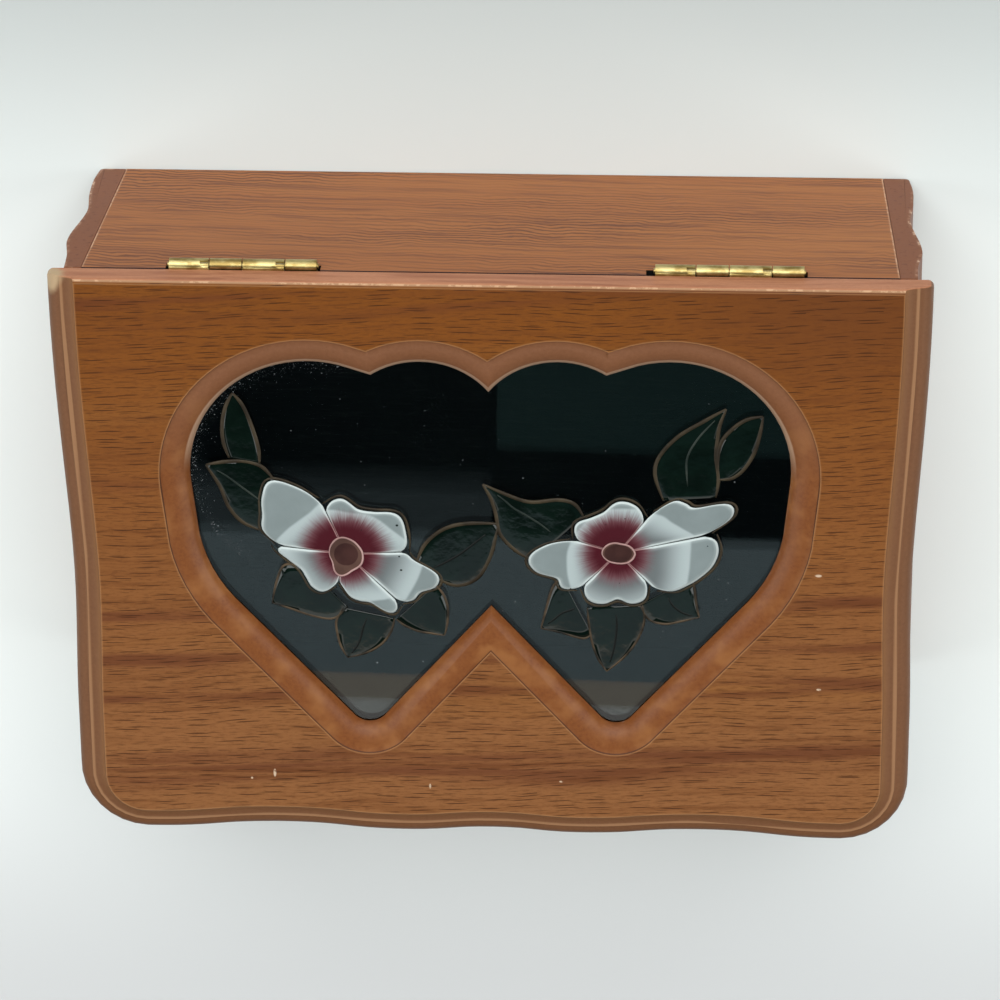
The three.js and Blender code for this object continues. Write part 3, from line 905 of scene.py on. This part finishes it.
for side, plans in leaf_plans.items():
    blades = bmesh.new()
    beads = {kind: bmesh.new() for kind in outliners}
    veins = {kind: bmesh.new() for kind in vein_paints}
    for first_corners, second_corners, outline_kind, vein_kind in plans:
        first_edge = smooth_line(first_corners, leaf_edge_steps)
        second_edge = smooth_line(second_corners, leaf_edge_steps)
        add_leaf(blades, first_edge, second_edge, leaf_rise)
        for leaf_edge in (first_edge, second_edge):
            add_bead(beads[outline_kind], leaf_edge, bead_widths[outline_kind], bead_height)
        if vein_kind:
            midrib = [first.lerp(second, 0.5) for first, second in zip(first_edge, second_edge)]
            add_bead(veins[vein_kind], midrib[3:21], vein_width, bead_height)
    finish_painting(blades, side + "_painted_leaves", leaf_green, leaf_coat)
    for kind, vein_paint in vein_paints.items():
        finish_painting(veins[kind], side + "_" + kind + "_veins", vein_paint, line_coat)
    for kind, outliner in outliners.items():
        finish_painting(beads[kind], side + "_" + kind + "_outlines", outliner, line_coat)


# Painted flowers
# Five petals of grey-white enamel with a bright rim and turned-over tips, crimson towards the eye.
# Each petal is a separate float of enamel; a bronze patch with a pink rim holds the brown eye.

petal_enamel, tree, shader, place = new_finish("petal_enamel")
petal_map = shader_node(tree, "ShaderNodeUVMap", uv_map="petal").outputs[0]
rim_gap = noted_value(tree, "rim_gap")
fold_gap = noted_value(tree, "fold_gap")
blush_gap = noted_value(tree, "blush_gap")
brush_marks = stretched_noise(tree, petal_map, (2.0, 55.0, 1.0), 3)
veil = stretched_noise(tree, place, (240, 240, 240), 3)
white_share = step_mask(tree, fold_gap, -6.0, -0.2)
petal = stain_over(tree, white_share, (0.12, 0.134, 0.138), (0.35, 0.4, 0.405))
turned_tip = stain_over(tree, veil, (0.155, 0.184, 0.186), (0.21, 0.247, 0.249))
petal = stain_over(tree, step_mask(tree, fold_gap, -0.1, 0.5), petal, turned_tip)
blush_edge = calculate(tree, "ADD", blush_gap, product(tree, brush_marks, 2.4))
petal = stain_over(tree, step_mask(tree, blush_edge, 4.6, 1.2), petal, (0.13, 0.05, 0.059))
petal = stain_over(tree, step_mask(tree, blush_edge, 2.9, 0.2), petal, (0.052, 0.0046, 0.0095))
petal = stain_over(tree, step_mask(tree, blush_gap, -2.0, -5.0), petal, (0.036, 0.004, 0.007))
line_tone = step_mask(tree, blush_gap, -0.5, 2.5)
pale_line = stain_over(tree, line_tone, (0.26, 0.13, 0.13), (0.48, 0.53, 0.525))
glow = product(tree, step_mask(tree, rim_gap, 1.0, 0.2), step_mask(tree, blush_gap, 0.0, 3.0))
petal = stain_over(tree, product(tree, glow, 0.35), petal, pale_line)
line_width = spread_over(tree, blush_gap, 2.2, 1.0, start=-1.0, end=2.5)
line_gap = product(tree, rim_gap, line_width)
petal = stain_over(tree, step_mask(tree, line_gap, 0.46, 0.26), petal, pale_line)
enamel_chips = (
    ((-16.2, 2.5), 0.3),
    ((-15.9, -3.5), 0.22),
    ((-15.6, -6.1), 0.27),
    ((-22.4, 1.5), 0.14),
    ((23.3, 4.5), 0.15),
    ((20.0, 3.3), 0.12),
    ((22.4, -7.9), 0.12),
    ((37.6, -0.5), 0.16),
    ((13.9, -9.2), 0.2),
)
for chip_centre, chip_size in enamel_chips:
    chip = spot_mask(tree, place, chip_centre, (chip_size, chip_size * 0.8))
    petal = stain_over(tree, chip, petal, (0.004, 0.006, 0.006))
tree.links.new(petal, shader.inputs["Base Color"])
shader.inputs["Roughness"].default_value = 0.35
shader.inputs["Specular IOR Level"].default_value = 0.15
raise_surface(tree, shader, brush_marks, 0.15, 0.0002)


eye_hollow = 1.5
dome_width = 1.5
petal_rim_height = 0.00019
petal_rise = 0.00012


def add_petal(shape, centre, turns, reaches, folds, blush):
    """A petal between two turns about the eye. It notes, in millimetres, how far each point lies
    inside the rim, beyond the turned-over tip's edge and beyond the crimson."""
    paint_map = shape.loops.layers.uv.get("petal") or shape.loops.layers.uv.new("petal")
    gaps = {
        name: shape.verts.layers.float.get(name) or shape.verts.layers.float.new(name)
        for name in ("rim_gap", "fold_gap", "blush_gap")
    }
    made = bmesh.ops.create_grid(shape, x_segments=18, y_segments=36, size=0.5)["verts"]
    shares = {}
    for vert in made:
        outward = vert.co.x + 0.5
        sideways = vert.co.y + 0.5
        shares[vert] = (outward, sideways)
        turn = math.radians(turns[0] + (turns[1] - turns[0]) * sideways)
        edge_share = 1 - abs(2 * sideways - 1)
        reach = smooth_between(reaches, sideways) * (0.9 + 0.1 * min(1, edge_share * 7) ** 0.5)
        radius = eye_hollow + (reach - eye_hollow) * outward
        edge_turn = math.radians(abs(turns[1] - turns[0]) * edge_share / 2)
        vert[gaps["rim_gap"]] = min(reach - radius, radius * math.sin(min(edge_turn, 1.5)))
        vert[gaps["fold_gap"]] = radius - smooth_between(folds, sideways)
        vert[gaps["blush_gap"]] = radius - blush
        dome = min(1.0, vert[gaps["rim_gap"]] / dome_width)
        vert.co = Vector(
            (
                centre[0] * millimetre + radius * millimetre * math.cos(turn),
                centre[1] * millimetre + radius * millimetre * math.sin(turn),
                glass_top + petal_rim_height + petal_rise * dome * (2 - dome),
            )
        )
    for face in {face for vert in made for face in vert.link_faces}:
        for loop in face.loops:
            loop[paint_map].uv = shares[loop.vert]


eye_enamel = paint_material("flower_eye_enamel", [(0.027, 0.0085, 0.0075), (0.047, 0.017, 0.014)], 0.4)
eye_bronze = paint_material("eye_patch_enamel", [(0.056, 0.026, 0.02), (0.095, 0.048, 0.036)], 0.45)
pink_line = paint_material("pink_outliner", [(0.28, 0.16, 0.15), (0.45, 0.28, 0.26)], 0.45)

flower_plans = {
    "left": {
        "centre": (-25.15, -3.2),
        "eye": (2.1, 2.15),
        "patch": (2.9, 2.7, 2.9, 3.3, 3.1, 2.9, 2.9, 4.3, 3.3, 3.2),
        "petals": [
            ((173, 113), (12.0, 15.1, 16.2, 18.0, 18.8, 15.0, 11.0), (12.4, 11.1, 10.1, 9.8, 10.4), 6.3),
            ((112, 3.5), (9.8, 10.6, 8.9, 9.6, 11.9, 11.3, 10.6), (8.8, 7.8, 8.5, 9.2, 11.5), 5.8),
            ((2.5, -45), (10.6, 12.0, 16.3, 16.7, 14.8, 14.5, 13.2), (13.6, 13.2, 13.0, 13.0, 13.4), 4.6),
            ((-46, -105), (13.4, 13.7, 10.4, 9.4, 8.4, 6.6, 5.4), (11.2, 10.0, 9.6, 9.4, 9.0), 4.3),
            ((254, 174), (6.2, 8.5, 8.9, 8.5, 8.6, 10.2, 12.6), (9.0, 10.5, 10.5, 10.8, 11.4), 3.8),
        ],
    },
    "right": {
        "centre": (22.15, -2.2),
        "eye": (2.4, 1.7),
        "patch": (2.9, 2.4, 1.9, 2.1, 2.5, 2.8, 2.3, 1.9, 2.0, 2.5),
        "petals": [
            ((162, 54), (7.8, 9.1, 8.2, 8.2, 9.8, 9.6, 8.1), (8.0, 8.0, 8.3, 8.5, 9.5), 5.6),
            ((53.2, 14), (9.6, 13.9, 15.1, 16.1, 21.3, 21.0, 16.2), (9.6, 10.4, 10.9, 12.0, 13.6), 3.6),
            ((13, -47), (17.0, 17.4, 16.6, 15.0, 13.4, 11.9, 9.4), (12.6, 12.3, 12.6, 13.4, 14.0), 3.9),
            ((-48, -133), (7.8, 9.9, 10.0, 8.9, 10.2, 10.5, 9.2), (12.0, 12.0, 12.0, 12.0, 12.0), 3.9),
            ((226, 163), (9.8, 11.9, 11.9, 14.9, 15.5, 12.4, 8.2), (10.8, 9.8, 9.0, 8.6, 8.2), 4.7),
        ],
    },
}
flower_line_gap = 0.5
flower_line_steps = 30
petal_coat = 0.00017
patch_height = 0.00034
patch_coat = 0.00028
eye_rim_width = 0.00036
eye_rim_rise = 0.0001
eye_rim_height = 0.00033
eye_rim_coat = 0.00006
eye_height = 0.0004
eye_coat = 0.0003
for side, plan in flower_plans.items():
    petals = bmesh.new()
    flower_lines = bmesh.new()
    for turns, reaches, folds, blush in plan["petals"]:
        add_petal(petals, plan["centre"], turns, reaches, folds, blush)
        flower_line = []
        for step in range(flower_line_steps + 1):
            share = step / flower_line_steps
            turn = math.radians(turns[0] + (turns[1] - turns[0]) * share)
            reach = smooth_between(reaches, share) + flower_line_gap
            spot = Vector(plan["centre"]) + Vector((math.cos(turn), math.sin(turn))) * reach
            flower_line.append(spot * millimetre)
        add_bead(flower_lines, flower_line, bead_widths["rubbed"], bead_height)
    finish_painting(petals, side + "_painted_petals", petal_enamel, petal_coat)
    finish_painting(flower_lines, side + "_flower_outline", outliners["bronze"], line_coat)

    centre = Vector(plan["centre"]) * millimetre
    patch = bmesh.new()
    bmesh.ops.create_circle(patch, cap_ends=True, segments=60, radius=1.0)
    wavy_rim = []
    patch_reaches = plan["patch"] + plan["patch"][:1]
    for vert in sorted(patch.verts, key=lambda vert: math.atan2(vert.co.y, vert.co.x)):
        turn = math.atan2(vert.co.y, vert.co.x)
        reach = smooth_between(patch_reaches, (turn / math.tau) % 1.0) * millimetre
        spot = centre + Vector((math.cos(turn), math.sin(turn))) * reach
        wavy_rim.append(spot)
        vert.co = Vector((spot.x, spot.y, glass_top + patch_height))
    finish_painting(patch, side + "_eye_patch", eye_bronze, patch_coat)
    rim_bead = bmesh.new()
    closed_rim = wavy_rim + wavy_rim[:2]
    add_bead(rim_bead, closed_rim, eye_rim_width, eye_rim_rise, glass_top + eye_rim_height)
    finish_painting(rim_bead, side + "_eye_outline", pink_line, eye_rim_coat)

    eye = bmesh.new()
    bmesh.ops.create_circle(eye, cap_ends=True, segments=40, radius=millimetre)
    disc = eye.faces[:]
    bmesh.ops.inset_region(eye, faces=disc, thickness=0.00012, depth=0.0)
    bmesh.ops.inset_region(eye, faces=disc, thickness=0.00004, depth=-0.00005)
    for vert in eye.verts:
        vert.co.x = centre.x + vert.co.x * plan["eye"][0]
        vert.co.y = centre.y + vert.co.y * plan["eye"][1]
        vert.co.z += glass_top + eye_height
    finish_painting(eye, side + "_flower_eye", eye_enamel, eye_coat)


# Dust on the glass
# Loose pale specks that lie on the pane, thickest along the left heart's edge.
# They are too small to model as more than a few flat faces each.

dust_grey, tree, shader, place = new_finish("pale_dust")
dust_tone = stretched_noise(tree, place, (900, 900, 900), 2)
tree.links.new(
    stain_over(tree, dust_tone, (0.08, 0.09, 0.1), (0.3, 0.32, 0.33)), shader.inputs["Base Color"]
)
shader.inputs["Roughness"].default_value = 0.9
specks = bmesh.new()
scatter = random.Random(41)
settled = [
    (-22.7, 21.6),
    (-17.3, 15.3),
    (-5.1, 14.2),
    (-20.1, -24.4),
    (-12.0, -24.0),
    (-50.9, 13.2),
    (-34.2, 20.1),
    (-11.2, 21.4),
    (-25.6, 26.2),
    (19.9, 17.2),
    (5.7, 11.8),
    (42.1, 11.7),
    (4.2, -12.0),
    (41.2, -7.7),
    (40.9, -10.9),
]
heart_centre = (-0.031, 0.0126)
heart_radius = 0.0208
speck_places = []
for across_spot, depth_spot in settled:
    size = scatter.uniform(0.00007, 0.00012)
    speck_places.append((across_spot * millimetre, depth_spot * millimetre, size))
for number in range(1100):
    size = 0.00002 + 0.00007 * scatter.random() ** 5
    if number % 4:
        turn = math.radians(scatter.uniform(72, 238))
        reach = heart_radius - abs(scatter.gauss(0, 0.0012))
        spot_x = heart_centre[0] + reach * math.cos(turn)
        spot_y = heart_centre[1] + reach * math.sin(turn)
        speck_places.append((spot_x, spot_y, size))
    else:
        speck_places.append((scatter.uniform(-0.046, 0.046), scatter.uniform(-0.02, 0.03), size))
for spot_x, spot_y, size in speck_places:
    made = bmesh.ops.create_icosphere(specks, subdivisions=1, radius=size)["verts"]
    stretch = scatter.uniform(0.7, 1.6)
    bmesh.ops.scale(specks, vec=(stretch, 1, 0.5), verts=made)
    bmesh.ops.translate(specks, vec=(spot_x, spot_y, glass_top + size * 0.3), verts=made)
glass_dust = placed_object(specks, "glass_dust", dust_grey)
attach(glass_dust, "lid")


# Table, light and camera
# A pale table, two soft lights behind the hinges, two side lights, and strips that the glass reflects.
# The camera looks down on the lid from the hinge side, as the photograph does.

table_paint, tree, shader, place = new_finish("pale_table")
table_tone = stretched_noise(tree, place, (3, 3, 3), 2)
table_depth = shader_node(tree, "ShaderNodeSeparateXYZ", {0: place}).outputs[1]
table_and_painted_shade = stain_over(tree, table_tone, (0.87, 0.905, 0.89), (0.9, 0.93, 0.92))
# Darker toward the back and the front: painted shade, leaving a pool of light round the box.
table_and_painted_shade = stain_over(tree, step_mask(tree, table_depth, 0.01, 0.1), table_and_painted_shade, (0.4, 0.42, 0.415))
table_and_painted_shade = stain_over(tree, step_mask(tree, table_depth, -0.03, -0.13), table_and_painted_shade, (0.58, 0.58, 0.585))
tree.links.new(table_and_painted_shade, shader.inputs["Base Color"])
shader.inputs["Roughness"].default_value = 0.6
table_half_width = 2.5
table_drop = 0.0002
table_shape = bmesh.new()
bmesh.ops.create_grid(table_shape, x_segments=8, y_segments=8, size=table_half_width)
bmesh.ops.translate(table_shape, vec=(0, 0, -table_drop), verts=table_shape.verts)
table = placed_object(table_shape, "table", table_paint)


def soft_light(name, spot, target, width, length, brightness, tint=(0.97, 1.0, 0.99)):
    """A flat soft light of the given brightness (light from each square metre of its face)."""
    panel = bpy.data.lights.new(name, "AREA")
    panel.shape = "RECTANGLE"
    panel.size = width
    panel.size_y = length
    panel.energy = brightness * math.pi * width * length
    panel.color = tint
    lamp = bpy.data.objects.new(name, panel)
    lamp.location = spot
    lamp.rotation_euler = (Vector(target) - Vector(spot)).to_track_quat("-Z", "Y").to_euler()
    scene.collection.objects.link(lamp)
    return lamp


soft_light("back_light", (0.0, 0.95, 1.35), (0, 0, 0.03), 2.0, 1.1, 3.8)
soft_light("low_back_light", (0.0, 1.25, 0.42), (0, 0.05, 0.05), 2.2, 0.62, 2.0)
soft_light("left_light", (-1.2, -0.1, 1.0), (0, 0, 0.03), 1.0, 1.2, 3.1)
soft_light("right_light", (1.2, -0.1, 1.0), (0, 0, 0.03), 1.0, 1.2, 3.2)
strip_tilt = math.radians(-1.0)
strip_height = 0.9
cool, warm, teal = (0.8, 1.0, 1.08), (1.14, 1.0, 0.84), (0.45, 1.0, 0.95)
reflected_strips = (
    ("teal_strip", -0.047, 0.6, -0.3, -0.376, 0.09, teal),
    ("first_strip", -0.9, -0.0495, -0.3853, -0.3895, 0.04, cool),
    ("second_strip", -0.9, -0.0495, -0.3895, -0.3945, 0.09, cool),
    ("third_strip", -0.9, -0.0495, -0.3945, -0.4097, 0.155, cool),
    ("fourth_strip", -0.7, 0.7, -0.4097, -0.4134, 0.3, cool),
    ("fifth_strip", -0.7, 0.7, -0.4134, -0.4698, 0.53, cool),
    ("sixth_strip", -0.7, 0.7, -0.4698, -0.4803, 0.78, warm),
    ("seventh_strip", -0.7, 0.7, -0.4803, -0.75, 1.4, (1.0, 1.0, 0.96)),
)
for name, left_end, right_end, back_edge, front_edge, brightness, tint in reflected_strips:
    middle = (left_end + right_end) / 2
    spot = Vector((middle, (back_edge + front_edge) / 2 + middle * math.tan(strip_tilt), strip_height))
    below = spot - Vector((0, 0, 1))
    width, length = right_end - left_end, back_edge - front_edge
    strip = soft_light(name, spot, below, width, length, brightness, tint)
    strip.rotation_euler.z += strip_tilt

room = bpy.data.worlds.new("room")
scene.world = room
room.use_nodes = True
room.node_tree.nodes["Background"].inputs["Color"].default_value = (0.012, 0.02, 0.024, 1)
room.node_tree.nodes["Background"].inputs["Strength"].default_value = 1.0

camera_spot = Vector((0.0449, 0.36887, 0.81166))
camera_target = Vector((0.00188, 0.00902, 0.0513))
camera_roll = math.radians(-172.909)
camera_lens = bpy.data.cameras.new("photo_camera")
camera_lens.sensor_width = 36
camera_lens.lens = 176.4
camera_lens.clip_start = 0.01
camera = bpy.data.objects.new("photo_camera", camera_lens)
camera.location = camera_spot
level_view = (camera_target - camera_spot).to_track_quat("-Z", "Y")
camera.rotation_euler = (level_view @ Quaternion((0, 0, 1), camera_roll)).to_euler()
scene.collection.objects.link(camera)
scene.camera = camera
scene.view_settings.view_transform = "Standard"
